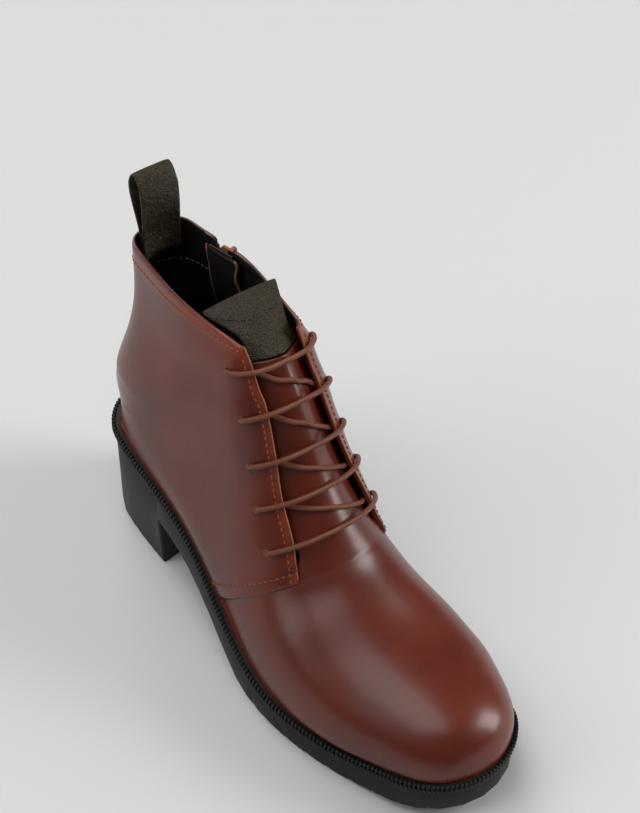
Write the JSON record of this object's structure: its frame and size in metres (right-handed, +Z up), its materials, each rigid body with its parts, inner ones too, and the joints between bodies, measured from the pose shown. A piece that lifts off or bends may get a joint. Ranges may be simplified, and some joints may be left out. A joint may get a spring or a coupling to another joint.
{
  "type": "lace up ankle boot",
  "caption": "Right ankle boot with a block heel, ribbed welt, laced front with open facings, tongue, heel pull loop and an inner side zip.",
  "frame": {"origin": "middle of the boot's bounding box at floor level", "axes": "-Y towards the toe, +Z up, -X towards the outer side of the right foot"},
  "size_m": [0.0942, 0.2626, 0.191],
  "materials": {
    "rubber": "smooth matte black rubber",
    "burgundy_leather": "smooth polished red-brown leather",
    "olive_leather": "grained dark olive leather",
    "insole_leather": "plain dark sock",
    "waxed_cord": "round waxed brown cord",
    "zip_tape": "woven brown tape",
    "copper_metal": "copper coloured plated metal"
  },
  "bodies": {
    "boot": {"insole": "insole_leather", "lace_bar_1": "waxed_cord", "lace_bar_2": "waxed_cord", "lace_bar_3": "waxed_cord", "lace_bar_4": "waxed_cord", "lace_bar_5": "waxed_cord", "lace_cross_1": "waxed_cord", "lace_cross_2": "waxed_cord", "lace_cross_3": "waxed_cord", "lace_cross_4": "waxed_cord", "outsole": "rubber", "pull_loop": "olive_leather", "tongue": "burgundy_leather", "tongue_top": "olive_leather", "upper": "burgundy_leather", "welt": "rubber", "zip_slider": "copper_metal", "zip_tape": "zip_tape", "zip_teeth": "copper_metal"},
    "pull_tab": {"zip_pull": "copper_metal"}
  },
  "joints": [
    {"name": "pull_hinge", "type": "hinge", "parent": "boot", "child": "pull_tab", "pos_m": [0.02511, 0.09349, 0.15151], "axis": [0.1397, -0.9819, 0.1277], "range_deg": [0, 150]}
  ]
}
